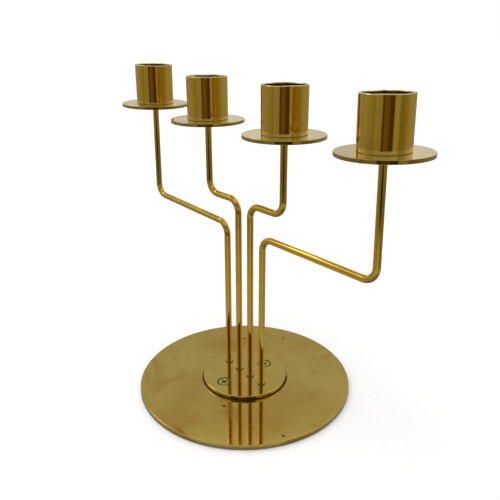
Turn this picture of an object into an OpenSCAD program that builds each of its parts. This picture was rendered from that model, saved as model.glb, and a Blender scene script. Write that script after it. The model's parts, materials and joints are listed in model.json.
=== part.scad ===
// Tabletop candelabra in solid brass: four bent rods stand in a row on a round base, and each carries a
// drip pan and a candle cup. Each rod turns about its own foot in the rod plate.
// Millimetres, +Z up. Origin: centre of the base, on the surface that it stands on.
// +X runs along the row of rods; an arm's name says on which side of the base its cup hangs.

/* [Base] */
// Diameter of the brass base disc
base_d = 139.5; // [120:0.5:180]
// Thickness of the brass base disc
base_t = 2.7; // [2:0.1:6]
// Chamfer round the top edge of the base disc
base_edge = 0.35; // [0.1:0.05:0.8]
// Thickness of the felt pad under the base disc
felt_t = 0.8; // [0.5:0.1:2]
// How far the felt's edge lies inside the edge of the base disc
felt_inset = 0.3; // [0:0.1:3]

/* [Rod plate] */
// Diameter of the plate that holds the rods' feet
plate_d = 55.5; // [50:0.5:70]
// Thickness of the rod plate
plate_t = 2.6; // [2.5:0.1:5]
// Chamfer round the top edge of the rod plate
plate_edge = 0.4; // [0.1:0.05:0.8]
// Distance from one rod's foot to the next
rod_pitch = 11.6; // [10:0.1:13]
// Distance between the two plate screws, across the row of rods
screw_spacing = 34.5; // [28:0.5:40]

/* [Rods] */
// Diameter of the rods
rod_d = 4.0; // [3.6:0.1:5]
// Radius of the rods' bends, at the centre line
bend_r = 8.0; // [6:0.5:12]
// Height of the outer rods' lower bend, where their centre lines cross
outer_knee_h = 107.8; // [90:0.1:115]
// Height of the inner rods' lower bend
inner_knee_h = 125.3; // [123:0.1:140]
// Length of the outer rods' level stretch, from corner to corner
outer_reach = 83.9; // [75:0.1:110]
// Length of the inner rods' level stretch
inner_reach = 29.1; // [28:0.1:32]
// Length of each upright, from the corner of its bend to the pan's top: left to right
upright_l = [65.4, 46.0, 45.7, 64.2]; // [40:0.1:80]
// Rise of each level stretch towards its cup, in degrees: left to right
rise = [1.3, 0.0, 0.2, 0.0]; // [-3:0.1:3]
// Turn of each arm away from the row, towards +Y, in degrees: left to right
swing = [0.0, -1.1, -0.1, 0.9]; // [-3:0.1:3]
// Lean of each upright, with its pan and cup, back towards the base, in degrees: left to right
lean_in = [1.1, -0.3, 0.4, 1.8]; // [-3:0.1:3]

/* [Pans and cups] */
// Diameter of the drip pans
pan_d = 45.4; // [38:0.1:46]
// Thickness of the drip pans
pan_t = 1.9; // [1.2:0.1:3]
// Outside diameter of the candle cups
cup_d = 25.0; // [24:0.1:28]
// Bore of the candle cups
candle_bore_d = 22.5; // [20:0.1:23]
// Height of the candle cups over the pan
cup_h = 25.5; // [20:0.5:40]
// Height of the shelf that the candle stands on, over the pan
cup_shelf_h = 5.0; // [4.8:0.1:8]

/* [Fasteners] */
// Thread diameter of the plate screws
screw_d = 4.0; // [3:0.5:4]
// Head diameter of the plate screws
screw_head_d = 8.0; // [7.5:0.1:8.4]
// Thread diameter of each rod's top end
tip_d = 3.0; // [2.5:0.1:3]
// Width of the cup nuts across their flats
nut_af = 5.5; // [5:0.1:6]
// Height of the cup nuts
nut_h = 2.4; // [1.8:0.1:2.5]
// Diameter of the collar pressed on each rod's foot
collar_d = 8.0; // [6.5:0.1:8.6]

/* [Hidden] */
ARMS = ["outer_left", "inner_left", "inner_right", "outer_right"];
ARM_PIECES = ["rod", "foot_collar", "drip_pan", "candle_cup", "cup_nut"];

$fn = 96;
SLOTS = [0 : len(ARMS) - 1];
run_gap = 0.05;      // running clearance, on the radius and on each face, where an arm turns
overcut = 1;         // how far a cutter runs past the face that it opens
edge_break = 0.2;    // small chamfer on the edges of pans and cups

// Heights of the stack, from the table up
disc_z = felt_t;
plate_z = disc_z + base_t;
plate_top_z = plate_z + plate_t;

// The swivel in the plate's underside: a washer, then the collar, in a round pocket
washer_t = 0.4;
collar_t = 0.7;
pocket_clear = 0.3;  // radial room round the collar
pocket_h = washer_t + collar_t + 2 * run_gap;
collar_z = plate_z + washer_t + run_gap;
rod_hole_chamfer = 0.35;

// Bending draws a rod slightly thin, and each bend runs a little way into the straight rod at both ends
bend_draw = 0.03;
bend_lap = 2;        // degrees

// Plate screws: 90-degree countersunk heads that sit a little below the plate's face
screw_sink = 0.15;
screw_head_clear = 0.2;
screw_hole_clear = 0.15;
screw_end_z = disc_z + 0.2;
cross_w = 0.8;
cross_l = 4.4;
cross_depth = 1.3;

// The fixing in each cup: the rod's threaded end passes the pan and the cup's floor, and takes a nut
cup_floor_t = 2.2;
cup_foot_edge = 0.35;
nut_pocket_d = 8.0;
tip_hole_clear = 0.1;
tip_over_nut = 0.1;
tip_root = 1;        // how far the threaded end is drawn into the thicker rod
tip_l = pan_t + cup_floor_t + nut_h + tip_over_nut;

brass = [0.72, 0.58, 0.27];
pale_brass = [0.78, 0.68, 0.45];
screw_metal = [0.70, 0.64, 0.50];
steel = [0.55, 0.56, 0.58];
felt_grey = [0.42, 0.40, 0.38];

function is_outer(i) = i == 0 || i == len(ARMS) - 1;
function points_left(i) = i < len(ARMS) / 2;
function foot_x(i) = (i - (len(ARMS) - 1) / 2) * rod_pitch;
function knee_h(i) = is_outer(i) ? outer_knee_h : inner_knee_h;
function reach(i) = is_outer(i) ? outer_reach : inner_reach;
function heading(i) = points_left(i) ? 180 - swing[i] : swing[i];

// Corner of an arm's upper bend, in the upright plane of that arm: [out from the foot, up]
function elbow(i) = [reach(i) * cos(rise[i]), knee_h(i) + reach(i) * sin(rise[i])];

// Distance from a bend's corner to where its straight rod begins, for a bend through angle
function setback(angle) = bend_r * tan(angle / 2);

// Places children at an arm's foot, with local +X along the arm
module at_foot(i) {
    translate([foot_x(i), 0, 0])
        rotate(heading(i))
            children();
}

// Places children on an arm's upright, with local +Z up along it from the corner of the bend
module at_elbow(i) {
    translate([elbow(i).x, 0, elbow(i).y])
        rotate([0, -lean_in[i], 0])
            children();
}

// Places children on the centre line of an arm's upright, with z = 0 on top of its pan
module at_pan_top(i) {
    at_foot(i)
        at_elbow(i)
            translate([0, 0, upright_l[i]])
                children();
}

// Places children at both plate screws, with z = 0 at the height given
module at_screws(z) {
    for (side = [-1, 1])
        translate([0, side * screw_spacing / 2, z])
            children();
}

// Round plate with a chamfered top edge, standing on z = 0
module chamfered_disc(d, h, top_edge, bottom_edge = 0) {
    rotate_extrude()
        polygon([
            [0, 0],
            [d / 2 - bottom_edge, 0],
            [d / 2, bottom_edge],
            [d / 2, h - top_edge],
            [d / 2 - top_edge, h],
            [0, h]
        ]);
}

// A bend in the arm's upright plane around the origin, from start_angle through angle
module rod_bend(start_angle, angle) {
    rotate([90, 0, 0])
        rotate(start_angle - bend_lap)
            rotate_extrude(angle = angle + 2 * bend_lap)
                translate([bend_r, 0])
                    circle(r = rod_d / 2 - bend_draw);
}

module base_disc() {
    color(brass)
        difference() {
            translate([0, 0, disc_z])
                chamfered_disc(base_d, base_t, base_edge);
            at_screws(disc_z - overcut)
                cylinder(d = screw_d, h = base_t + 2 * overcut);
        }
}

module base_felt() {
    color(felt_grey)
        cylinder(d = base_d - 2 * felt_inset, h = felt_t);
}

// Cutter for one rod's swivel: running bore, chamfered mouth, and the pocket for collar and washer
module swivel_cut() {
    bore_r = rod_d / 2 + run_gap;
    translate([0, 0, plate_z - overcut])
        cylinder(r = bore_r, h = plate_t + 2 * overcut);
    translate([0, 0, plate_z - overcut])
        cylinder(d = collar_d + 2 * pocket_clear, h = pocket_h + overcut);
    translate([0, 0, plate_top_z - rod_hole_chamfer])
        cylinder(r1 = bore_r, r2 = bore_r + rod_hole_chamfer + overcut, h = rod_hole_chamfer + overcut);
}

// Cutter for one countersunk screw hole through the rod plate, with z = 0 on the plate's face
module countersink_cut() {
    hole_r = screw_d / 2 + screw_hole_clear;
    mouth_r = screw_head_d / 2 + screw_head_clear;
    translate([0, 0, -plate_t - overcut])
        cylinder(r = hole_r, h = plate_t + 2 * overcut);
    translate([0, 0, hole_r - mouth_r])
        cylinder(r1 = hole_r, r2 = mouth_r + overcut, h = mouth_r - hole_r + overcut);
}

module rod_plate() {
    color(pale_brass)
        difference() {
            translate([0, 0, plate_z])
                chamfered_disc(plate_d, plate_t, plate_edge);
            for (i = SLOTS)
                translate([foot_x(i), 0, 0])
                    swivel_cut();
            at_screws(plate_top_z)
                countersink_cut();
        }
}

// One countersunk screw with a cross recess, hanging from z = 0 at the top of its head
module plate_screw() {
    head_r = screw_head_d / 2;
    shank_r = screw_d / 2;
    shank_l = plate_top_z - screw_sink - screw_end_z;
    difference() {
        rotate_extrude()
            polygon([
                [0, 0],
                [head_r, 0],
                [shank_r, shank_r - head_r],
                [shank_r, -shank_l],
                [0, -shank_l]
            ]);
        for (turn = [0, 90])
            rotate(turn)
                translate([-cross_l / 2, -cross_w / 2, -cross_depth])
                    cube([cross_l, cross_w, cross_depth + overcut]);
    }
}

module plate_screws() {
    color(screw_metal)
        at_screws(plate_top_z - screw_sink)
            plate_screw();
}

// Spring washers that press the collars up against the plate, so that the arms stay where they are put
module swivel_washers() {
    color(steel)
        for (i = SLOTS)
            translate([foot_x(i), 0, plate_z])
                difference() {
                    cylinder(d = collar_d - 0.4, h = washer_t);
                    translate([0, 0, -overcut])
                        cylinder(d = rod_d + 0.4, h = washer_t + 2 * overcut);
                }
}

// One bent rod: foot, knee, level stretch, elbow and upright, with a threaded end for the cup nut
module rod(i) {
    knee_turn = 90 - rise[i];
    elbow_turn = knee_turn + lean_in[i];
    knee_back = setback(knee_turn);
    elbow_back = setback(elbow_turn);
    level_l = reach(i) - knee_back - elbow_back;
    shoulder = upright_l[i] - pan_t;
    color(brass)
        at_foot(i) {
            translate([0, 0, collar_z])
                cylinder(d = rod_d, h = knee_h(i) - knee_back - collar_z);
            translate([bend_r, 0, knee_h(i) - knee_back])
                rod_bend(180 - knee_turn, knee_turn);
            translate([0, 0, knee_h(i)])
                rotate([0, knee_turn, 0]) {
                    translate([0, 0, knee_back])
                        cylinder(d = rod_d, h = level_l);
                    translate([-bend_r, 0, knee_back + level_l])
                        rotate([0, -knee_turn, 0])
                            rod_bend(-knee_turn, elbow_turn);
                }
            at_elbow(i) {
                translate([0, 0, elbow_back])
                    cylinder(d = rod_d, h = shoulder - elbow_back);
                translate([0, 0, shoulder - tip_root])
                    cylinder(d = tip_d, h = tip_l + tip_root);
            }
        }
}

// Collar pressed on a rod's foot, which holds the rod in the plate
module foot_collar(i) {
    color(steel)
        translate([foot_x(i), 0, collar_z])
            difference() {
                cylinder(d = collar_d, h = collar_t);
                translate([0, 0, -overcut])
                    cylinder(d = rod_d, h = collar_t + 2 * overcut);
            }
}

module drip_pan(i) {
    color(pale_brass)
        at_pan_top(i)
            translate([0, 0, -pan_t])
                difference() {
                    chamfered_disc(pan_d, pan_t, edge_break, edge_break);
                    translate([0, 0, -overcut])
                        cylinder(r = tip_d / 2 + tip_hole_clear, h = pan_t + 2 * overcut);
                }
}

// Turned cup: candle bore down to a shelf, a pocket for the nut in the shelf, and a hole in the floor
module candle_cup(i) {
    outer_r = cup_d / 2;
    bore_r = candle_bore_d / 2;
    hole_r = tip_d / 2 + tip_hole_clear;
    pocket_r = nut_pocket_d / 2;
    color(brass)
        at_pan_top(i)
            rotate_extrude()
                polygon([
                    [hole_r, 0],
                    [outer_r - cup_foot_edge, 0],
                    [outer_r, cup_foot_edge],
                    [outer_r, cup_h - edge_break],
                    [outer_r - edge_break, cup_h],
                    [bore_r + edge_break, cup_h],
                    [bore_r, cup_h - edge_break],
                    [bore_r, cup_shelf_h],
                    [pocket_r, cup_shelf_h],
                    [pocket_r, cup_floor_t],
                    [hole_r, cup_floor_t]
                ]);
}

// Hexagonal nut in the floor of a cup, which clamps cup and pan on the rod's shoulder
module cup_nut(i) {
    corner_d = nut_af / cos(30);
    color(brass)
        at_pan_top(i)
            translate([0, 0, cup_floor_t])
                difference() {
                    intersection() {
                        cylinder(d = corner_d, h = nut_h, $fn = 6);
                        chamfered_disc(corner_d, nut_h, edge_break * 2);
                    }
                    translate([0, 0, -overcut])
                        cylinder(d = tip_d, h = nut_h + 2 * overcut);
                }
}

base_disc();
base_felt();
rod_plate();
plate_screws();
swivel_washers();
for (i = SLOTS) {
    rod(i);
    foot_collar(i);
    drip_pan(i);
    candle_cup(i);
    cup_nut(i);
}
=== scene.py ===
"""Looks for a tabletop candelabra in polished brass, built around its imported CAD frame.

Lengths are in millimetres in the constants and in metres (times MM) in the scene. The frame is the CAD's:
+Z up, the origin at the centre of the base on the surface it stands on, +X along the row of rods.
"""
import json
import math
import random

import bmesh
import bpy
from mathutils import Matrix, Vector, noise


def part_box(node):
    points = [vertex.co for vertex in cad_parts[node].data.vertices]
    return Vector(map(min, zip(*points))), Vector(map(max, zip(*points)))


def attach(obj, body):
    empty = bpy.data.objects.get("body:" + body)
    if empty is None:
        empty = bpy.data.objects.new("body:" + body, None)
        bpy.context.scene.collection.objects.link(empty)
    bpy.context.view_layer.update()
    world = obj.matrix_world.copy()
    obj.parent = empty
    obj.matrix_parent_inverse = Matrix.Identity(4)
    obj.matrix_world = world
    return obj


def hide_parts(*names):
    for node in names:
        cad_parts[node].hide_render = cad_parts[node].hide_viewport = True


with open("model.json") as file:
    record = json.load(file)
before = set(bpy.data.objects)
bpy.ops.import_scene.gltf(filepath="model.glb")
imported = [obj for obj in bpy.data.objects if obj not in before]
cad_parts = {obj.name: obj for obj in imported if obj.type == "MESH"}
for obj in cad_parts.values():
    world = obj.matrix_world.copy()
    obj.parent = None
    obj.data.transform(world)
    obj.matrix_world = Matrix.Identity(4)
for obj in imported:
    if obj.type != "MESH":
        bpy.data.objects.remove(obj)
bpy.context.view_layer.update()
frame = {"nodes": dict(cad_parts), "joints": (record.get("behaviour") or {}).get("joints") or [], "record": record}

MM = 0.001

# ---------------------------------------------------------------- sizes, the CAD's own, in mm
ARMS = ("outer_left", "inner_left", "inner_right", "outer_right")
KNEE_H = {"outer": 107.8, "inner": 125.3}
UPRIGHT_L = {"outer_left": 65.4, "inner_left": 46.0, "inner_right": 45.7, "outer_right": 64.2}
ROD_R = 2.0
BEND_R = 8.0
ROD_FOOT_Z = 3.95
TIP_R = 1.5
PAN_R = 22.69
PAN_T = 1.9
CUP_R = 12.5
CUP_BORE_R = 11.25
CUP_H = 25.49
CUP_SHELF_H = 5.0
CUP_FLOOR_T = 2.2
NUT_POCKET_R = 4.0
NUT_H = 2.4
TIP_OVER_NUT = 0.1
HOLE_R = 1.6
BASE_R = 69.75
PLATE_R = 27.75
FELT_R = 69.45
SCREW_SPACING = 34.5
SCREW_R = 2.0
SCREW_HOLE_R = 2.15
SCREW_HEAD_R = 4.0
SCREW_MOUTH_R = 4.2
SCREW_SINK = 0.15
SWIVEL_BORE_R = 2.05
SWIVEL_CHAMFER = 0.35
POCKET_R = 4.3
POCKET_H = 1.2

FELT_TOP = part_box("base_felt")[1].z / MM
BASE_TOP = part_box("base_disc")[1].z / MM
PLATE_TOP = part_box("rod_plate")[1].z / MM


def feet():
    """Where the four rods stand along x, in mm."""
    return [joint["pos_m"][0] / MM for joint in frame["joints"]]


def screws():
    """Where the two screws stand along y, in mm."""
    return [side * SCREW_SPACING / 2 for side in (-1, 1)]


# ---------------------------------------------------------------- mesh helpers
ROUND_STEPS = 5
SUPPORT = 0.04          # distance from a rounded corner to the ring that keeps the flat beside it flat
LATHE_STEPS = 192


def rounded(points, closed=False):
    """Profile points (r, z, corner radius) as (r, z), with each corner of some radius rounded off."""
    out = []
    count = len(points)
    for k, (r, z, radius) in enumerate(points):
        here = Vector((r, z))
        if radius <= 0 or (not closed and k in (0, count - 1)):
            out.append(here)
            continue
        before = (Vector(points[k - 1][:2]) - here).normalized()
        after = (Vector(points[(k + 1) % count][:2]) - here).normalized()
        half = before.angle(after) / 2
        back = radius / math.tan(half)
        centre = here + (before + after).normalized() * (radius / math.sin(half))
        start = here + before * back
        end = here + after * back
        out.append(start + before * SUPPORT)
        a, b = start - centre, end - centre
        turn = a.angle(b)
        for step in range(ROUND_STEPS + 1):
            t = step / ROUND_STEPS
            out.append(centre + (a * math.sin((1 - t) * turn) + b * math.sin(t * turn)) / math.sin(turn))
        out.append(end + after * SUPPORT)
    return [(p.x, p.y) for p in out]


def new_object(name, bm):
    """A mesh object from bm, smooth shaded, with its normals outwards."""
    bmesh.ops.recalc_face_normals(bm, faces=bm.faces)
    mesh = bpy.data.meshes.new(name)
    bm.to_mesh(mesh)
    bm.free()
    for polygon in mesh.polygons:
        polygon.use_smooth = True
    obj = bpy.data.objects.new(name, mesh)
    bpy.context.scene.collection.objects.link(obj)
    return obj


def ring(bm, place, count):
    """One closed ring of verts; place(angle) gives each vert's position in mm."""
    return [bm.verts.new(place(2 * math.pi * k / count) * MM) for k in range(count)]


def skin(bm, rings, closed=False):
    """Quads between each ring and the next; a ring of one vert is a pole."""
    pairs = list(zip(rings, rings[1:]))
    if closed:
        pairs.append((rings[-1], rings[0]))
    for low, high in pairs:
        count = max(len(low), len(high))
        for k in range(count):
            corners = [low[k % len(low)], low[(k + 1) % count % len(low)],
                       high[(k + 1) % count % len(high)], high[k % len(high)]]
            bm.faces.new(list(dict.fromkeys(corners)))


def lathe(name, profile, closed=False, shift=None, steps=LATHE_STEPS):
    """Turned piece round its own z axis. shift(r, z, angle), if given, moves a point by (dr, dz)."""
    bm = bmesh.new()
    rings = []
    for r, z in profile:
        if r < 1e-6:
            rings.append([bm.verts.new(Vector((0, 0, z)) * MM)])
            continue

        def place(angle, r=r, z=z):
            dr, dz = shift(r, z, angle) if shift else (0, 0)
            return Vector(((r + dr) * math.cos(angle), (r + dr) * math.sin(angle), z + dz))

        rings.append(ring(bm, place, steps))
    skin(bm, rings, closed)
    return new_object(name, bm)


def holed_plate(name, rims):
    """Flat plate with holes. Each rim is (x, y, profile from the top face to the bottom face)."""
    bm = bmesh.new()
    tops, bottoms = [], []
    for x, y, profile in rims:
        steps = LATHE_STEPS if profile[0][0] > PLATE_R / 2 else LATHE_STEPS // 3
        rings = [ring(bm, lambda a, r=r, z=z: Vector((x + r * math.cos(a), y + r * math.sin(a), z)), steps)
                 for r, z in profile]
        skin(bm, rings)
        tops.append(rings[0])
        bottoms.append(rings[-1])
    for loops in (tops, bottoms):
        edges = [bm.edges.get(pair) for loop in loops for pair in zip(loop, loop[1:] + loop[:1])]
        bmesh.ops.triangle_fill(bm, use_beauty=True, use_dissolve=False, edges=edges)
    return new_object(name, bm)


# ---------------------------------------------------------------- materials
class Build:
    """Short names for making the nodes of one tree."""

    def __init__(self, tree):
        self.tree = tree

    def feed(self, socket, value):
        """Links value to the socket where it is a node's output, and sets it there where it is a number."""
        if isinstance(value, bpy.types.NodeSocket):
            self.tree.links.new(value, socket)
        else:
            socket.default_value = value

    def node(self, kind, inputs=None, **settings):
        n = self.tree.nodes.new(kind)
        for key, value in settings.items():
            setattr(n, key, value)
        for key, value in (inputs or {}).items():
            self.feed(n.inputs[key], value)
        return n

    def math(self, operation, *values):
        return self.node("ShaderNodeMath", dict(enumerate(values)), operation=operation).outputs[0]

    def product(self, first, *others):
        for other in others:
            first = self.math("MULTIPLY", first, other)
        return first

    def noise(self, vector, scale, detail=3.0, roughness=0.5, distortion=0.0):
        n = self.node("ShaderNodeTexNoise", {"Vector": vector, "Scale": scale, "Detail": detail,
                                             "Roughness": roughness, "Distortion": distortion})
        return n.outputs["Fac"]

    def away(self, vector, x=0.0, y=0.0):
        """Distance in plan from the point (x, y), which is given in mm."""
        flat = self.node("ShaderNodeVectorMath", {0: vector, 1: (1, 1, 0)}, operation="MULTIPLY").outputs[0]
        n = self.node("ShaderNodeVectorMath", {0: flat, 1: (x * MM, y * MM, 0)}, operation="DISTANCE")
        return n.outputs["Value"]

    def height(self, vector):
        return self.node("ShaderNodeSeparateXYZ", {0: vector}).outputs["Z"]

    def mapped(self, vector, scale=(1, 1, 1), location=(0, 0, 0)):
        inputs = {"Vector": vector, "Scale": scale, "Location": location}
        return self.node("ShaderNodeMapping", inputs).outputs[0]

    def range(self, value, low, high, to_low=0.0, to_high=1.0):
        """Smooth step of value, from to_low at low to to_high at high."""
        n = self.node("ShaderNodeMapRange", {"Value": value, "From Min": low, "From Max": high,
                                             "To Min": to_low, "To Max": to_high},
                      interpolation_type="SMOOTHSTEP")
        return n.outputs[0]

    def fall(self, value, low, high, most=1.0):
        """Smooth step down, from most at low to 0 at high."""
        return self.range(value, low, high, most, 0.0)

    def band(self, value, start, full, ends, gone):
        """1 from full to ends, and 0 below start and above gone."""
        return self.product(self.range(value, start, full), self.fall(value, ends, gone))

    def rise_mm(self, value, low, high):
        return self.range(value, low * MM, high * MM)

    def fall_mm(self, value, low, high, most=1.0):
        return self.fall(value, low * MM, high * MM, most)

    def mix(self, fac, a, b, blend="MIX"):
        n = self.node("ShaderNodeMix", {"Factor": fac}, data_type="RGBA", blend_type=blend)
        for socket, colour in ((n.inputs[6], a), (n.inputs[7], b)):
            self.feed(socket, (*colour, 1) if isinstance(colour, tuple) else colour)
        return n.outputs[2]

    def ramp(self, fac, stops):
        """Colour ramp; each stop is (place from 0 to 1, grey or colour)."""
        n = self.node("ShaderNodeValToRGB", {"Fac": fac})
        elements = n.color_ramp.elements
        elements.remove(elements[1])
        for k, (place, value) in enumerate(stops):
            element = elements[0] if k == 0 else elements.new(place)
            element.position = place
            element.color = (*value, 1) if isinstance(value, tuple) else (value, value, value, 1)
        return n.outputs[0]


def new_material(name):
    """An empty material: itself, its Build, its shader, and the object's own coordinates in metres."""
    material = bpy.data.materials.new(name)
    material.use_nodes = True
    tree = material.node_tree
    tree.nodes.clear()
    b = Build(tree)
    shader = b.node("ShaderNodeBsdfPrincipled")
    b.node("ShaderNodeOutputMaterial", {0: shader.outputs[0]})
    place = b.node("ShaderNodeTexCoord").outputs["Object"]
    return material, b, shader, place


BRASS = (0.85, 0.53, 0.055)
PALE_BRASS = (0.80, 0.60, 0.15)
BRIGHT_BRASS = (0.78, 0.62, 0.19)      # paler, for brass that mirrors brass: the double reflection deepens it
FOOT_BRASS = (0.83, 0.58, 0.12)
WORN_AND_HIGHLIT_BRASS = (0.82, 0.70, 0.32)        # rims rubbed bright by handling, and paler still as a painted highlight
# painted shade: darker brass for the pan's outer edge
SHADED_EDGE_BRASS = (0.56, 0.40, 0.08)
# painted shade: darker brass for faces that look down
UNDERSIDE_SHADE_BRASS = (0.40, 0.29, 0.08)
SCREW_BRASS = (0.76, 0.58, 0.16)
TARNISH = (0.64, 0.38, 0.065)
BROWN = (0.15, 0.085, 0.03)
# painted shade: the dark brown laid into corners, seams, recesses and low on edges
SHADE_BROWN = (0.085, 0.042, 0.012)
COLLAR_STEEL = (0.52, 0.53, 0.55)
WASHER_STEEL = (0.46, 0.47, 0.50)
FELT_GREY = (0.33, 0.31, 0.285)
LINT = (0.42, 0.40, 0.36)

# how fine the noise in the metals and the felt is, in waves per metre
WAVE_SCALE = 45.0
PIT_SCALE = 170.0
PIT_GROUP_SCALE = 35.0
SMUDGE_SCALE = 140.0
# the noise that breaks up the painted shade
SHADE_BREAKUP_SCALE = 260.0
FINE_SCALE = 900.0
STEEL_DIRT_SCALE = 420.0
STEEL_FINE_SCALE = 1800.0
FIBRE_SCALE = 2600.0
LINT_SCALE = 500.0

# how much rougher each kind of wear makes the brass
STAIN_ROUGH = 0.10
PIT_ROUGH = 0.4
FINE_ROUGH = 0.25       # as a share of the brass's own roughness

PIT_DEPTH = 3.0         # beside the fine marks' depth of 1
BLOT_CORE = 0.2         # share of a blot's radius that has its full strength
NICK_CORE = 0.4
NICK_RAGGED = 0.9       # how unevenly a nick's edge runs, in mm


def tarnish_mask(b, place, here, blotch, blotch_scale, blots):
    """Soft patches of tarnish all over, and heavier ones at the blots."""
    patches = b.noise(here, blotch_scale, 4.0, 0.6, 1.2)
    stain = b.product(b.range(patches, 0.50, 0.72), blotch)
    broken = b.range(patches, 0.36, 0.62)
    for x, y, radius, strength in blots:
        near = b.fall_mm(b.away(place, x, y), radius * BLOT_CORE, radius, strength)
        stain = b.math("MAXIMUM", stain, b.product(near, broken))
    return stain


def pit_mask(b, place, here, pits, nicks):
    """Small dark pits in loose groups, and the nicks."""
    cells = b.node("ShaderNodeTexVoronoi", {"Vector": here, "Scale": PIT_SCALE, "Randomness": 1.0})
    groups = b.range(b.noise(here, PIT_GROUP_SCALE, 2.0), 0.56, 0.64)
    mask = b.product(b.fall(cells.outputs["Distance"], 0.05, 0.12), groups, pits)
    ragged = b.product(b.noise(here, FINE_SCALE, 2.0), NICK_RAGGED * MM)
    for x, y, radius in nicks:
        away = b.math("ADD", b.away(place, x, y), ragged)
        core = NICK_RAGGED / 2 + radius * NICK_CORE
        mask = b.math("MAXIMUM", mask, b.fall_mm(away, core, NICK_RAGGED / 2 + radius))
    return mask


def zoned(b, place, colour, zones):
    """The ground colour with its zones, and a list of what they add to the roughness."""
    extra = []
    for zone, other, rougher in zones:
        mask = zone(b, place)
        colour = b.mix(mask, colour, other)
        if rougher:
            extra.append(b.product(mask, rougher))
    return colour, extra


def polish_bump(b, here, fine, pit, mark_depth, waviness):
    """The normal: turning or drawing marks and pits, over slow waves of hand polishing."""
    height = b.math("SUBTRACT", fine, b.product(pit, PIT_DEPTH))
    bump = b.node("ShaderNodeBump", {"Strength": mark_depth, "Distance": 0.2 * MM, "Height": height})
    if waviness > 0:
        wave = b.noise(here, WAVE_SCALE, 1.0, 0.4)
        slow = b.node("ShaderNodeBump", {"Strength": waviness, "Distance": 1.0 * MM, "Height": wave})
        b.feed(bump.inputs["Normal"], slow.outputs[0])
    return bump.outputs[0]


def brass(name, colour, roughness, marks, mark_depth, blotch, blotch_scale, pits, seed,
          waviness=0.0, warmth=0.22, zones=(), darkening=None, blots=(), nicks=()):
    """Polished brass: soft tarnish, fine marks along one direction, smudges, small dark pits, slow waves.

    A zone (mask, colour, roughness) changes the ground colour and adds roughness where mask(b, place)
    says. Darkening is such a mask too, for painted shade: it mixes in dark brown and roughens the brass.
    Blots (x, y, radius, strength) and nicks (x, y, radius), in mm, are places of heavier tarnish and small dents.
    """
    material, b, shader, place = new_material(name)
    here = b.mapped(place, location=(seed, seed * 0.7, -seed * 0.4))
    stain = tarnish_mask(b, place, here, blotch, blotch_scale, blots)
    pit = pit_mask(b, place, here, pits, nicks)
    ground, extra = zoned(b, place, colour, zones)
    slow = b.noise(here, blotch_scale * 0.4, 2.0, 0.5, 0.6)
    warm = b.mix(b.range(slow, 0.35, 0.7, 0.0, warmth), ground, TARNISH)
    final = b.mix(pit, b.mix(stain, warm, TARNISH), BROWN)
    # painted shade: the darkening mask, broken up by noise, mixes dark brown into the colour and counts as pits
    # for roughness and bumps
    if darkening:
        uneven = b.range(b.noise(here, SHADE_BREAKUP_SCALE, 3.0), 0.25, 0.6, 0.7, 1.0)
        painted_shade = b.product(darkening(b, place), uneven)
        final = b.mix(painted_shade, final, SHADE_BROWN)
        pit = b.math("MAXIMUM", pit, painted_shade)
    b.feed(shader.inputs["Base Color"], final)
    b.feed(shader.inputs["Metallic"], 1.0)

    fine = b.noise(b.mapped(here, marks), FINE_SCALE, 3.0, 0.65)
    smudge = b.noise(here, SMUDGE_SCALE, 3.0, 0.6, 0.8)
    rough = b.range(smudge, 0.35, 0.75, roughness * 0.75, roughness * 1.5)
    for more in (b.product(stain, STAIN_ROUGH), b.product(fine, roughness * FINE_ROUGH),
                 b.product(pit, PIT_ROUGH), *extra):
        rough = b.math("ADD", rough, more)
    b.feed(shader.inputs["Roughness"], rough)
    b.feed(shader.inputs["Normal"], polish_bump(b, here, fine, pit, mark_depth, waviness))
    return material


def plain_metal(name, colour, roughness, marks, seed):
    """Machined metal, duller than the brass, with scratches and dark dirt."""
    material, b, shader, place = new_material(name)
    here = b.mapped(place, location=(seed, -seed, seed * 0.3))
    darkening = b.range(b.noise(here, STEEL_DIRT_SCALE, 4.0, 0.6, 0.5), 0.52, 0.72, 0.0, 0.6)
    dark = tuple(0.35 * c for c in colour)
    b.feed(shader.inputs["Base Color"], b.mix(darkening, colour, dark))
    b.feed(shader.inputs["Metallic"], 1.0)
    fine = b.noise(b.mapped(here, marks), STEEL_FINE_SCALE, 3.0, 0.6)
    b.feed(shader.inputs["Roughness"], b.range(fine, 0.3, 0.7, roughness * 0.8, roughness * 1.35))
    bump = b.node("ShaderNodeBump", {"Strength": 0.15, "Distance": 0.1 * MM, "Height": fine})
    b.feed(shader.inputs["Normal"], bump.outputs[0])
    return material


def felt(name, colour):
    """Pressed felt: fibres, lint and a soft uneven surface."""
    material, b, shader, place = new_material(name)
    fibre = b.noise(place, FIBRE_SCALE, 5.0, 0.75, 1.5)
    lint = b.range(b.noise(place, LINT_SCALE, 3.0, 0.6, 2.0), 0.55, 0.75, 0.0, 0.5)
    light = tuple(1.5 * c for c in colour)
    dark = tuple(0.55 * c for c in colour)
    body = b.mix(b.range(fibre, 0.3, 0.7), dark, light)
    b.feed(shader.inputs["Base Color"], b.mix(lint, body, LINT))
    b.feed(shader.inputs["Roughness"], 0.95)
    b.feed(shader.inputs["Sheen Weight"], 0.3)
    bump = b.node("ShaderNodeBump", {"Strength": 0.6, "Distance": 0.3 * MM, "Height": fibre})
    b.feed(shader.inputs["Normal"], bump.outputs[0])
    return material


DRAWN = (0.06, 0.06, 1.0)       # marks that run round a rod
TURNED = (0.03, 0.03, 1.0)      # turning marks round a cup, one above the other
BUFFED = (1.0, 0.35, 1.0)       # buffing marks on a flat face
EVEN = (1, 1, 1)                # marks with no direction


def shade_ring(b, place, x, y, inner, outer, soft):
    """A ring of painted shade round (x, y), in mm, on the top face; it fades out over its last stretch, soft."""
    edges = (inner - 0.1, inner, outer - soft, outer)
    return b.band(b.away(place, x, y), *(edge * MM for edge in edges))


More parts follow.
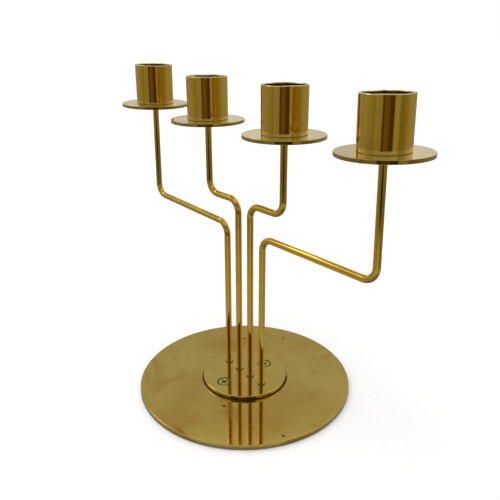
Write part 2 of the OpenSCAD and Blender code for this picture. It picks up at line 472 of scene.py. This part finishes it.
def base_painted_shade(b, place):
    """Painted shade: a dark ring in the corner round the rod plate, and a painted shadow low on the base's edge.
    """
    seam = shade_ring(b, place, 0, 0, 0, PLATE_R + 1.5, 1.1)
    return b.math("MAXIMUM", seam, b.fall_mm(b.height(place), FELT_TOP + 0.9, BASE_TOP - 0.5, 0.5))


def plate_painted_shade(b, place):
    """Painted shade in the corners round the rods and the screw heads, and low on the plate's edge."""
    mask = b.fall_mm(b.height(place), BASE_TOP + 0.5, BASE_TOP + 1.0)
    for x in feet():
        mask = b.math("MAXIMUM", mask, shade_ring(b, place, x, 0, 0, ROD_R + 0.75, 0.4))
    for y in screws():
        ring_round = shade_ring(b, place, 0, y, SCREW_HEAD_R - 0.1, SCREW_HEAD_R + 0.95, 0.35)
        mask = b.math("MAXIMUM", mask, ring_round)
    return mask


def cup_seam_shade(b, place):
    """A little painted shade in the seam under a cup."""
    return b.fall_mm(b.height(place), 0.25, 0.6, 0.3)


def screw_recess_shade(b, place):
    """Painted shade in and round the cross recess, and at the head's edge."""
    head_top = PLATE_TOP - SCREW_SINK
    mask = b.fall_mm(b.height(place), head_top - 0.15, head_top - 0.05)
    for y in screws():
        mask = b.math("MAXIMUM", mask, shade_ring(b, place, 0, y, 0, 1.5, 1.2))
        at_edge = shade_ring(b, place, 0, y, SCREW_HEAD_R - 0.25, SCREW_HEAD_R + 0.4, 0.3)
        mask = b.math("MAXIMUM", mask, at_edge)
    return mask


def rod_foot(b, place):
    """The rods' lower ends, which mirror the base."""
    return b.fall_mm(b.height(place), 30, 75)


def underside_shade(b, place):
    """Faces that look down: painted shade in their colour, and rougher brass."""
    normal = b.node("ShaderNodeNewGeometry").outputs["Normal"]
    return b.fall(b.height(normal), -0.35, -0.08)


def cup_faces_brass(b, place):
    """The cup's foot, which mirrors the pan, and its bore, which mirrors itself."""
    foot = b.fall_mm(b.height(place), 1.3, 2.6)
    bore = b.fall_mm(b.away(place), CUP_BORE_R + 0.1, CUP_BORE_R + 0.4)
    return b.math("MAXIMUM", foot, bore)


def cup_rim(b, place):
    """The top of the cup's wall: brass rubbed bright, made paler still as a painted highlight."""
    return b.rise_mm(b.height(place), CUP_H - 0.9, CUP_H - 0.4)


def pan_faces_cup(b, place):
    """The pan's middle, which mirrors the cup."""
    return b.fall_mm(b.away(place), 16.0, 19.0)


def pan_edge_shade(b, place):
    """The pan's outer edge, painted darker as shade."""
    return b.rise_mm(b.away(place), PAN_R - 0.24, PAN_R - 0.12)


BLOT_COUNT = 10
BLOT_R = (13, 20)       # the least and the most, in mm
BLOT_STRENGTH = 0.9
NICK_COUNT = 7
NICK_R = (0.7, 1.9)
NICK_CLEAR = 4          # nicks keep this far from the rod plate and from the base's edge


def scatter(count, seed, inner, outer, radii):
    """Places (x, y, radius) in mm, drawn at random over a ring of the base's top."""
    draw = random.Random(seed)
    places = []
    for _ in range(count):
        away = math.sqrt(draw.uniform(inner ** 2, outer ** 2))
        angle = draw.uniform(0, 2 * math.pi)
        places.append((away * math.cos(angle), away * math.sin(angle), draw.uniform(*radii)))
    return places


BLOTS = [(*place, BLOT_STRENGTH) for place in scatter(BLOT_COUNT, 1, PLATE_R, BASE_R, BLOT_R)]
NICKS = scatter(NICK_COUNT, 2, PLATE_R + NICK_CLEAR, BASE_R - NICK_CLEAR, NICK_R)
BASE_MATERIAL = brass("base_brass", PALE_BRASS, 0.05, BUFFED, 0.012, blotch=0.6, blotch_scale=42.0, pits=0.9,
                      seed=1.3, waviness=0.012, warmth=0.55, darkening=base_painted_shade, blots=BLOTS, nicks=NICKS)
PLATE_MATERIAL = brass("plate_brass", PALE_BRASS, 0.05, BUFFED, 0.010, blotch=0.35, blotch_scale=70.0,
                       pits=0.25, seed=4.1, waviness=0.008, darkening=plate_painted_shade)
ROD_MATERIAL = brass("rod_brass", BRASS, 0.055, DRAWN, 0.02, blotch=0.45, blotch_scale=70.0, pits=0.3,
                     seed=2.2, zones=((rod_foot, FOOT_BRASS, 0), (underside_shade, UNDERSIDE_SHADE_BRASS, 0.35)))
PAN_MATERIAL = brass("pan_brass", PALE_BRASS, 0.07, BUFFED, 0.015, blotch=0.4, blotch_scale=60.0, pits=0.4,
                     seed=6.5, waviness=0.006,
                     zones=((pan_faces_cup, BRIGHT_BRASS, 0), (pan_edge_shade, SHADED_EDGE_BRASS, 0)))
CUP_MATERIAL = brass("cup_brass", BRASS, 0.085, TURNED, 0.05, blotch=0.3, blotch_scale=50.0, pits=0.25,
                     seed=3.7, darkening=cup_seam_shade,
                     zones=((cup_faces_brass, BRIGHT_BRASS, 0), (cup_rim, WORN_AND_HIGHLIT_BRASS, 0)))
NUT_MATERIAL = brass("nut_brass", BRASS, 0.20, DRAWN, 0.08, blotch=0.5, blotch_scale=200.0, pits=0.5,
                     seed=5.2)
SCREW_MATERIAL = brass("screw_metal", SCREW_BRASS, 0.07, EVEN, 0.06, blotch=0.4, blotch_scale=300.0, pits=0.4,
                       seed=1.0, darkening=screw_recess_shade)
STEEL_MATERIAL = plain_metal("collar_steel", COLLAR_STEEL, 0.30, (0.1, 0.1, 1), 2.0)
WASHER_MATERIAL = plain_metal("washer_steel", WASHER_STEEL, 0.35, EVEN, 3.0)
FELT_MATERIAL = felt("felt", FELT_GREY)


def finish_piece(obj, body, slot, material, *nodes):
    """Gives a piece its material and its body, and hides the CAD nodes it replaces. slot is not used."""
    obj.data.materials.clear()
    obj.data.materials.append(material)
    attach(obj, body)
    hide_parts(*nodes)


def repaint(node, material):
    """Gives a carried-over CAD node its material."""
    for material_slot in frame["nodes"][node].material_slots:
        material_slot.material = material


# ---------------------------------------------------------------- stand
def hole(x, y, *profile):
    """A rim for holed_plate, from a profile of (r, z, corner radius)."""
    return (x, y, rounded(profile))


def make_base():
    rim = rounded([(BASE_R - 4, BASE_TOP, 0), (BASE_R - 0.15, BASE_TOP, 0.32), (BASE_R, FELT_TOP, 0.18),
                   (BASE_R - 4, FELT_TOP, 0)])
    rims = [(0, 0, rim)]
    for y in screws():
        rims.append(hole(0, y, (SCREW_R + 0.6, BASE_TOP, 0), (SCREW_R, BASE_TOP, 0.1),
                         (SCREW_R, FELT_TOP, 0.1), (SCREW_R + 0.6, FELT_TOP, 0)))
    obj = holed_plate("base_disc_polished", rims)
    finish_piece(obj, "stand", "base_brass", BASE_MATERIAL, "base_disc")


def make_plate():
    low = BASE_TOP
    rim = rounded([(PLATE_R - 3, PLATE_TOP, 0), (PLATE_R - 0.12, PLATE_TOP, 0.34), (PLATE_R, low, 0.15),
                   (PLATE_R - 3, low, 0)])
    rims = [(0, 0, rim)]
    for x in feet():
        rims.append(hole(x, 0, (SWIVEL_BORE_R + 1.2, PLATE_TOP, 0),
                         (SWIVEL_BORE_R + SWIVEL_CHAMFER, PLATE_TOP, 0.08),
                         (SWIVEL_BORE_R, PLATE_TOP - SWIVEL_CHAMFER, 0.1),
                         (SWIVEL_BORE_R, low + POCKET_H, 0.05), (POCKET_R, low + POCKET_H, 0.1),
                         (POCKET_R, low, 0.1), (POCKET_R + 0.5, low, 0)))
    deep = SCREW_MOUTH_R - SCREW_HOLE_R
    for y in screws():
        rims.append(hole(0, y, (SCREW_MOUTH_R + 1, PLATE_TOP, 0),
                         (SCREW_MOUTH_R, PLATE_TOP, 0.08), (SCREW_HOLE_R, PLATE_TOP - deep, 0.1),
                         (SCREW_HOLE_R, low, 0.1), (SCREW_HOLE_R + 0.6, low, 0)))
    obj = holed_plate("rod_plate_polished", rims)
    finish_piece(obj, "stand", "plate_brass", PLATE_MATERIAL, "rod_plate")


FUZZ = 0.12             # how far the felt's edge is uneven
FUZZ_SCALE = 60


def make_felt():
    def fuzz(r, z, angle):
        if r < FELT_R - 2:
            return 0, 0
        n = noise.noise(Vector((math.cos(angle) * FUZZ_SCALE, math.sin(angle) * FUZZ_SCALE, z * 2)))
        return -FUZZ * abs(n), 0

    profile = rounded([(0, 0, 0), (FELT_R, 0, 0.12), (FELT_R, FELT_TOP, 0.1), (0, FELT_TOP, 0)])
    obj = lathe("base_felt_pad", profile, shift=fuzz, steps=LATHE_STEPS * 3)
    finish_piece(obj, "stand", "felt", FELT_MATERIAL, "base_felt")


# ---------------------------------------------------------------- arms
ROD_STEPS = 48
BEND_STEPS = 28
THREAD_PITCH = 0.5
END_RING = 0.3          # extra rings this far from each bend keep the shading of the straight stretches even
FOOT_ROUND = ((0, 0.25), (0.04, 0.2), (0.2, 0.04), (0.28, 0), (0.4, 0))         # (height, how much thinner)
SHOULDER_ROUND = ((0.3, 0), (0.2, 0), (0.15, 0), (0.04, 0.05), (0, 0.15))       # (depth, how much thinner)
GROOVE = ((0.0, 0.22), (0.12, 0.2), (0.25, 0.02), (0.38, 0.02))                 # one turn of the thread
FIRST_GROOVE = 0.1
PLAIN_TIP = 0.4         # the tip's share without grooves, in mm


def rod_path(corners):
    """Centre line through the corners with both bends rounded: (point, tangent)."""
    line = [(corners[0], (corners[1] - corners[0]).normalized())]
    for before, corner, after in zip(corners, corners[1:], corners[2:]):
        arrive = (corner - before).normalized()
        leave = (after - corner).normalized()
        turn = arrive.angle(leave)
        back = BEND_R * math.tan(turn / 2)
        inward = (leave - arrive * arrive.dot(leave)).normalized()
        start = corner - arrive * back
        centre = start + inward * BEND_R
        for step in range(BEND_STEPS + 1):
            a = turn * step / BEND_STEPS
            tangent = arrive * math.cos(a) + inward * math.sin(a)
            point = centre + arrive * (BEND_R * math.sin(a)) - inward * (BEND_R * math.cos(a))
            line.append((point, tangent))
    line.append((corners[-1], (corners[-1] - corners[-2]).normalized()))
    return line


def make_rod(arm, foot, pan_top, up):
    """The bent rod, from its foot in the plate to its threaded tip in the cup's nut."""
    kind = arm.split("_")[0]
    elbow = pan_top - up * UPRIGHT_L[arm]
    shoulder = pan_top - up * PAN_T
    line = rod_path([foot, Vector((foot.x, foot.y, KNEE_H[kind])), elbow, shoulder])
    across = Vector((0, 0, 1)).cross(elbow - foot).normalized()
    bm = bmesh.new()
    rings = [[bm.verts.new(foot * MM)]]

    def add(point, tangent, radius):
        side = across.cross(tangent).normalized()

        def place(angle):
            return point + (side * math.cos(angle) + across * math.sin(angle)) * radius

        rings.append(ring(bm, place, ROD_STEPS))

    for rise, thinner in FOOT_ROUND:
        add(foot + Vector((0, 0, rise)), Vector((0, 0, 1)), ROD_R - thinner)
    for k, (point, tangent) in enumerate(line[1:-1]):
        step = k % (BEND_STEPS + 1)
        if step == 0:
            add(point - tangent * END_RING, tangent, ROD_R)
        add(point, tangent, ROD_R)
        if step == BEND_STEPS:
            add(point + tangent * END_RING, tangent, ROD_R)
    for drop, thinner in SHOULDER_ROUND:
        add(shoulder - up * drop, up, ROD_R - thinner)
    add(shoulder, up, TIP_R - 0.05)
    tip_l = PAN_T + CUP_FLOOR_T + NUT_H + TIP_OVER_NUT
    for turn in range(int((tip_l - PLAIN_TIP) / THREAD_PITCH)):
        base = FIRST_GROOVE + turn * THREAD_PITCH
        for part, thinner in GROOVE:
            add(shoulder + up * (base + part), up, TIP_R - thinner)
    add(shoulder + up * (tip_l - 0.25), up, TIP_R - 0.1)
    add(shoulder + up * tip_l, up, TIP_R - 0.4)
    rings.append([bm.verts.new((shoulder + up * tip_l) * MM)])
    skin(bm, rings)
    obj = new_object(arm + "_bent_rod", bm)
    finish_piece(obj, arm + "_arm", "rod_brass", ROD_MATERIAL, arm + "_rod")


def make_pan(arm, place):
    profile = rounded([(HOLE_R, -PAN_T, 0.1), (PAN_R, -PAN_T, 0.2), (PAN_R, 0, 0.16), (HOLE_R, 0, 0.1)],
                      closed=True)
    obj = lathe(arm + "_turned_pan", profile, closed=True)
    obj.matrix_world = place
    finish_piece(obj, arm + "_arm", "pan_brass", PAN_MATERIAL, arm + "_drip_pan")


RIM_WAVE = 0.30         # how far the hand-dressed rim dips
RIM_DEPTH = 1.2         # how far below the top the unevenness starts
RIM_LEAN = 0.06


def make_cup(arm, place, seed):
    def uneven(r, z, angle):
        if z < CUP_H - RIM_DEPTH or r < CUP_BORE_R - 0.01:
            return 0, 0
        around = Vector((math.cos(angle) * 1.7, math.sin(angle) * 1.7, seed))
        share = (z - CUP_H + RIM_DEPTH) / RIM_DEPTH
        dip = RIM_WAVE * min(1.0, abs(noise.noise(around) * 1.8)) * share
        inward = RIM_LEAN * noise.noise(around * 1.7) * share
        return (-abs(inward) if r > (CUP_R + CUP_BORE_R) / 2 else abs(inward)), -dip

    profile = rounded([
        (HOLE_R, 0, 0.1), (CUP_R, 0, 0.32), (CUP_R, CUP_H, 0.48), (CUP_BORE_R, CUP_H, 0.55),
        (CUP_BORE_R, CUP_SHELF_H, 0.2), (NUT_POCKET_R, CUP_SHELF_H, 0.2), (NUT_POCKET_R, CUP_FLOOR_T, 0.2),
        (HOLE_R, CUP_FLOOR_T, 0.1)], closed=True)
    obj = lathe(arm + "_turned_cup", profile, closed=True, shift=uneven)
    obj.matrix_world = place
    finish_piece(obj, arm + "_arm", "cup_brass", CUP_MATERIAL, arm + "_candle_cup")


def make_arm(arm, index):
    """One arm's pieces, placed from the frame: the foot from its joint, the pan and cup from its socket."""
    joint = next(j for j in frame["joints"] if j["child"] == arm + "_arm")
    socket = next(m for m in frame["record"]["mounts"] if m["name"] == arm + "_candle_socket")
    up = Vector(socket["axis"]).normalized()
    if up.z < 0:
        up = -up
    pan_top = Vector(socket["pos_m"]) / MM - up * (CUP_SHELF_H + socket["dims"]["length_mm"] / 2)
    foot = Vector((joint["pos_m"][0] / MM, joint["pos_m"][1] / MM, ROD_FOOT_Z))
    make_rod(arm, foot, pan_top, up)
    turn = Vector((0, 0, 1)).rotation_difference(up)
    place = Matrix.Translation(pan_top * MM) @ turn.to_matrix().to_4x4()
    make_pan(arm, place)
    make_cup(arm, place, index * 7.3)
    repaint(arm + "_foot_collar", STEEL_MATERIAL)
    repaint(arm + "_cup_nut", NUT_MATERIAL)


make_base()
make_plate()
make_felt()
repaint("plate_screws", SCREW_MATERIAL)
repaint("swivel_washers", WASHER_MATERIAL)
for arm_index, arm_name in enumerate(ARMS):
    make_arm(arm_name, arm_index)

# ---------------------------------------------------------------- camera
CAMERA_AT = (0.25649, -0.20104, 0.22150)
CAMERA_LOOKS = (-0.7273, 0.5829, -0.3621)
LENS = 40.54            # in mm, on a sensor of SENSOR_W
SENSOR_W = 36.0
NEAREST = 0.01

camera = bpy.data.objects.new("camera", bpy.data.cameras.new("camera"))
bpy.context.scene.collection.objects.link(camera)
camera.location = CAMERA_AT
camera.rotation_euler = Vector(CAMERA_LOOKS).to_track_quat("-Z", "Y").to_euler()
camera.data.lens = LENS
camera.data.sensor_width = SENSOR_W
camera.data.clip_start = NEAREST
bpy.context.scene.camera = camera

# ---------------------------------------------------------------- surroundings
scene = bpy.context.scene
scene.view_settings.view_transform = "Standard"
scene.view_settings.look = "None"

FRONT = (0.731, -0.682, 0.0)      # the side of the room that the brass faces in the usual view
FRONT_RIGHT = (0.682, 0.731, 0.0)

# Brightness up the room's front and up its back: (elevation in degrees, grey).
FRONT_LEVELS = ((-90, 0.32), (-45, 0.40), (-32, 0.54), (-25, 0.46), (-19, 0.28), (-13, 0.19), (-9, 0.29),
                (0, 0.33), (12, 0.44), (22, 0.44), (30, 0.32), (36, 0.32), (48, 0.55), (60, 0.90),
                (76, 0.60), (90, 0.60))
BACK_LEVELS = ((-90, 0.32), (-30, 0.40), (-10, 0.34), (-3, 0.40), (3, 0.66), (11, 0.74), (20, 0.48),
               (29, 0.41), (38, 0.42), (43, 0.60), (48, 0.95), (56, 1.00), (66, 0.90), (78, 0.60), (90, 0.60))

# Tint round the room's lower part: (degrees from the front towards the right, grey or colour).
OLIVE = (0.62, 0.57, 0.35)
STRAW = (0.76, 0.72, 0.45)
SAND = (0.74, 0.70, 0.5)
BANDS = ((-180, 1.0), (-150, 1.0), (-110, 0.95), (-88, 1.08), (-64, 0.88), (-56, STRAW), (-46, 1.06),
         (-36, 0.92), (-28, 0.95), (0, 0.90), (28, 1.06), (42, 1.04), (50, OLIVE), (58, OLIVE), (74, SAND),
         (96, 1.05), (130, 0.92), (180, 1.0))
STREAK = (0.45, 0.45, 0.45)

# The dark figure in front, in the same degrees.
FIGURE = ((-26, (0.075, 0.050, 0.035)), (-17, (0.065, 0.042, 0.028)), (-13, (0.150, 0.088, 0.060)),
          (3, (0.140, 0.080, 0.055)), (8, (0.060, 0.038, 0.025)), (26, (0.055, 0.036, 0.024)))
FIGURE_FOOT = (0.018, 0.012, 0.008)

PANEL_GREY = (0.66, 0.66, 0.66)
WINDOW_AT = -122
WINDOW_LIGHT = (3.4, 3.5, 4.0)
GLARE = (0.62, 0.60, 0.52)
WHITE = (1.0, 1.0, 1.0)


def elevation(degrees):
    """A height over the horizon as a place from 0 to 1."""
    return degrees / 180 + 0.5


def bearing(degrees):
    """A direction round the room, from its front, as a place from 0 to 1."""
    return degrees / 360 + 0.5


class Room(Build):
    """The world's nodes, and where a ray points: its height and turn from 0 to 1, and its angles."""

    def __init__(self, tree):
        super().__init__(tree)
        ray = self.node("ShaderNodeTexCoord").outputs["Generated"]
        rise = self.math("DIVIDE", self.math("ARCSINE", self.height(ray)), math.pi)
        self.up = self.math("ADD", rise, 0.5)
        self.angle = self.math("ARCTAN2", self.along(ray, FRONT_RIGHT), self.along(ray, FRONT))
        self.turn = self.math("ADD", self.math("DIVIDE", self.angle, 2 * math.pi), 0.5)
        self.degrees = self.product(self.angle, 180 / math.pi)
        self.off_front = self.math("ABSOLUTE", self.degrees)

    def along(self, ray, direction):
        n = self.node("ShaderNodeVectorMath", {0: ray, 1: direction}, operation="DOT_PRODUCT")
        return n.outputs["Value"]

    def heights(self, start, full, ends, gone):
        """1 from the elevation full to ends, and 0 below start and above gone."""
        return self.band(self.up, *(elevation(e) for e in (start, full, ends, gone)))

    def levels(self, stops):
        return self.ramp(self.up, [(elevation(e), value) for e, value in stops])

    def round(self, stops):
        return self.ramp(self.turn, [(bearing(a), value) for a, value in stops])


def room_walls(room):
    """The room itself: its front and back, tinted and streaked round its lower part."""
    walls = room.mix(room.range(room.off_front, 75, 140), room.levels(FRONT_LEVELS), room.levels(BACK_LEVELS))
    streaks = room.node("ShaderNodeTexNoise", {"W": room.angle, "Scale": 9.0, "Detail": 4.0},
                        noise_dimensions="1D")
    streaked = room.range(streaks.outputs["Fac"], 0.3, 0.7, 0.0, 0.34)
    bands = room.mix(streaked, room.round(BANDS), STREAK)
    low_only = room.fall(room.up, elevation(12), elevation(28))
    return room.mix(low_only, walls, bands, blend="MULTIPLY")


def side_panels(room):
    """Where the grey panels at both sides are."""
    return room.product(room.band(room.off_front, 70, 95, 110, 145), room.heights(14, 28, 48, 62))


def window(room):
    """Where the bright window is, high behind the object's left."""
    off_window = room.math("ABSOLUTE", room.math("SUBTRACT", room.degrees, WINDOW_AT))
    return room.product(room.fall(off_window, 14, 19), room.heights(37, 43, 49, 54))


def figure_mask(room):
    """Where the figure in front is: a standing part, and a raised, wider one."""
    wider = room.range(room.up, elevation(8), elevation(24), 0.0, 12.0)
    width = room.fall(room.math("SUBTRACT", room.off_front, wider), 22, 25)
    return room.product(width, room.math("ADD", room.heights(-18, -14, 3, 8), room.heights(23, 27, 42, 50)))


def make_room():
    """World light: a studio room with a dim figure in front, a bright backdrop, side panels and a window."""
    world = bpy.data.worlds.new("room")
    scene.world = world
    world.use_nodes = True
    world.node_tree.nodes.clear()
    room = Room(world.node_tree)
    lit = room.mix(side_panels(room), room_walls(room), PANEL_GREY)
    lit = room.mix(window(room), lit, WINDOW_LIGHT)
    glare = room.product(room.fall(room.off_front, 6, 14), room.heights(-27, -22, -18, -16))
    lit = room.mix(glare, lit, GLARE)
    foot = room.fall(room.up, elevation(-12), elevation(-8))
    figure = room.mix(foot, room.round(FIGURE), FIGURE_FOOT)
    light = room.mix(figure_mask(room), lit, figure)

    seen = room.node("ShaderNodeLightPath").outputs["Is Camera Ray"]
    background = room.node("ShaderNodeBackground", {"Color": room.mix(seen, light, WHITE), "Strength": 1.0})
    room.node("ShaderNodeOutputWorld", {0: background.outputs[0]})


FLOOR_RINGS = (0.25, 1.0, 4.0, 16.0)      # radii in metres
FLOOR_STEPS = 96
FLOOR_GREYS = ((0.90, 0.90, 0.895), (0.92, 0.92, 0.915))


def make_floor():
    """Plain pale floor. Only the camera sees it: the brass reflects the room instead."""
    bm = bmesh.new()
    rings = [[bm.verts.new((0, 0, 0))]]
    for radius in FLOOR_RINGS:
        rings.append(ring(bm, lambda a: Vector((math.cos(a), math.sin(a), 0)) * (radius / MM), FLOOR_STEPS))
    skin(bm, rings)
    obj = new_object("floor", bm)
    material, b, shader, place = new_material("floor")
    grain = b.noise(place, 300.0, 3.0)
    b.feed(shader.inputs["Base Color"], b.mix(b.range(grain, 0.3, 0.7), *FLOOR_GREYS))
    b.feed(shader.inputs["Roughness"], 0.9)
    b.feed(shader.inputs["Specular IOR Level"], 0.1)
    obj.data.materials.append(material)
    for kind in ("glossy", "diffuse", "shadow", "transmission"):
        setattr(obj, "visible_" + kind, False)


def make_lamp(name, strength, spread, direction):
    """Broad even light along a direction, its spread in degrees; the brass doesn't mirror it."""
    lamp = bpy.data.lights.new(name, "SUN")
    lamp.energy = strength
    lamp.angle = math.radians(spread)
    obj = bpy.data.objects.new(name, lamp)
    obj.rotation_euler = Vector(direction).to_track_quat("-Z", "Y").to_euler()
    obj.visible_glossy = False
    scene.collection.objects.link(obj)


make_room()
make_floor()
make_lamp("key", 1.3, 70, (-0.2, 0.5, -1.0))
make_lamp("fill", 0.7, 90, (0.6, -0.3, -1.0))

bpy.context.view_layer.update()
